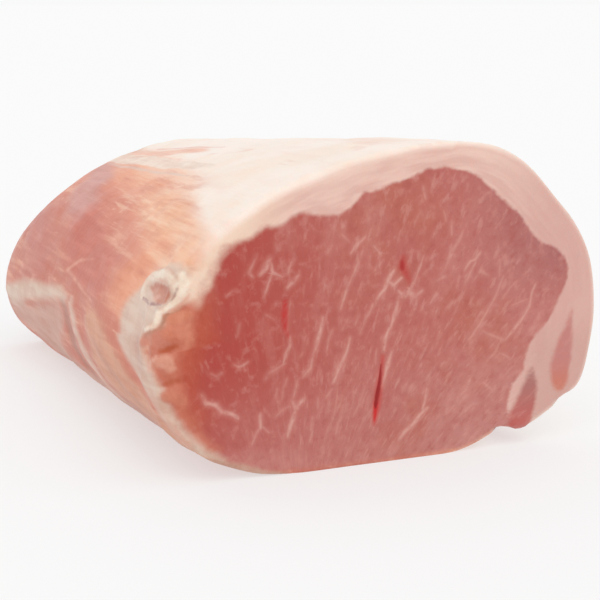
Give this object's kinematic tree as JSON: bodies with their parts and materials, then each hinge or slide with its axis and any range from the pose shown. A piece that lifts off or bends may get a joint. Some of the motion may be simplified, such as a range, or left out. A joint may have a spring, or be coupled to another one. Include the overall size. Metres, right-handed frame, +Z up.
{
  "type": "raw pork loin",
  "caption": "Raw boneless pork loin joint cut across at both ends, with a white fat cap over the top and one side of its lean eye muscle.",
  "frame": {"origin": "on the flat underside, below the middle of the joint", "axes": "+X across the front cut face to its right, +Y along the loin away from the front cut face, +Z up through the fat cap"},
  "size_m": [0.1336, 0.17, 0.0841],
  "materials": {
    "lean_meat": "moist raw lean pork, pink red with pale marbling and fine grain, soft sheen",
    "pork_fat": "firm cream white fat, pinker on the cut, satin and slightly translucent",
    "strip_meat": "moist pale pink meat with fat streaks"
  },
  "bodies": {
    "root": {"eye_muscle": "lean_meat", "fat_cap": "pork_fat", "side_muscle": "strip_meat", "lower_muscle": "strip_meat"}
  },
  "joints": []
}
